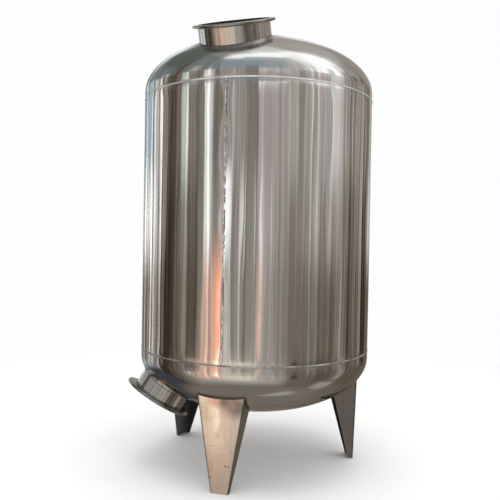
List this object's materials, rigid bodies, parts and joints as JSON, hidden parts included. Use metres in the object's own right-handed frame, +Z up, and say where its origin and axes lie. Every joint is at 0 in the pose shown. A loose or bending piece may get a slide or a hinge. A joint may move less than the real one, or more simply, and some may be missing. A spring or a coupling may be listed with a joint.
{
  "type": "stainless steel storage tank",
  "caption": "Upright cylindrical storage tank of stainless plate with dished ends, an open manway in the top head, another low at the side, and tapered legs.",
  "frame": {"origin": "on the ground, at the middle of the whole tank's bounding box in plan; the tank's own axis is at x = 0.0286 m, because the bottom manway sticks out on the -X side", "axes": "+Z up along the tank's axis, -Y towards the front of the tank, where the front leg and the top manway are, +X to its right"},
  "size_m": [1.46, 1.4028, 2.6389],
  "materials": {
    "tank_steel": "bright rolled stainless plate, warm grey",
    "head_steel": "buffed stainless, satin",
    "manway_steel": "polished stainless",
    "leg_steel": "mill finish stainless plate, dull",
    "weld_metal": "pickled weld bead"
  },
  "bodies": {
    "root": {"shell": "tank_steel", "shell_seam_weld": "weld_metal", "top_girth_weld": "weld_metal", "bottom_girth_weld": "weld_metal", "top_head": "head_steel", "bottom_head": "head_steel", "top_manway_neck": "manway_steel", "top_manway_rim": "manway_steel", "top_manway_weld": "weld_metal", "top_manway_rim_weld": "weld_metal", "bottom_manway_neck": "manway_steel", "bottom_manway_rim": "manway_steel", "bottom_manway_weld": "weld_metal", "bottom_manway_rim_weld": "weld_metal", "leg_front": "leg_steel", "leg_right": "leg_steel", "leg_left": "leg_steel", "leg_front_weld": "weld_metal", "leg_right_weld": "weld_metal", "leg_left_weld": "weld_metal"}
  },
  "joints": []
}
